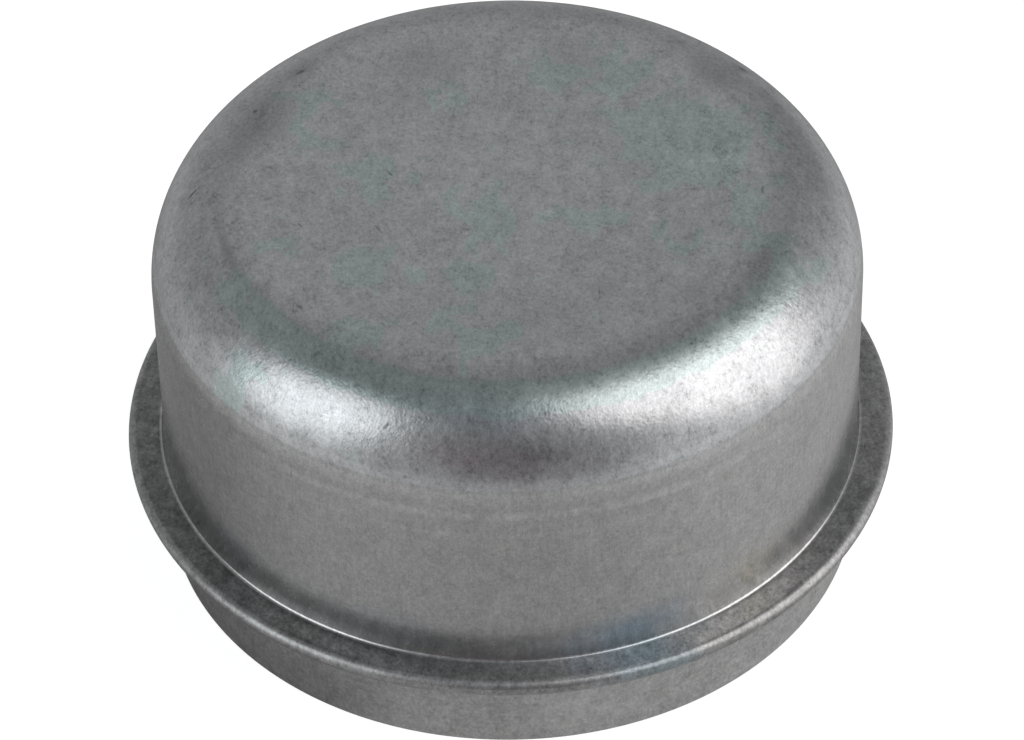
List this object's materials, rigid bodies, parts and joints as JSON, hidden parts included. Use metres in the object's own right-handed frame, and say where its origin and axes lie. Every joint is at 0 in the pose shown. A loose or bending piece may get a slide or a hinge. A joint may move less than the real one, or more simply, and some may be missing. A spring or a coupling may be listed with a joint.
{
  "type": "hub grease cap",
  "caption": "Pressed sheet-steel hub grease cap: a flat-topped round cup with a broad rounded corner, a folded stop flange and a plain press-in skirt, open underneath.",
  "frame": {"origin": "on the cap's axis, in the plane of the open rim that it stands on", "axes": "+Z along the cap's axis, from the open rim to the crown; X and Y are equal, because the cap is round"},
  "size_m": [0.0612, 0.0612, 0.0331],
  "materials": {
    "plated_steel": "satin zinc plating on drawn steel sheet, lightly mottled, with fine scratches"
  },
  "bodies": {
    "root": {"grease_cap": "plated_steel"}
  },
  "joints": []
}
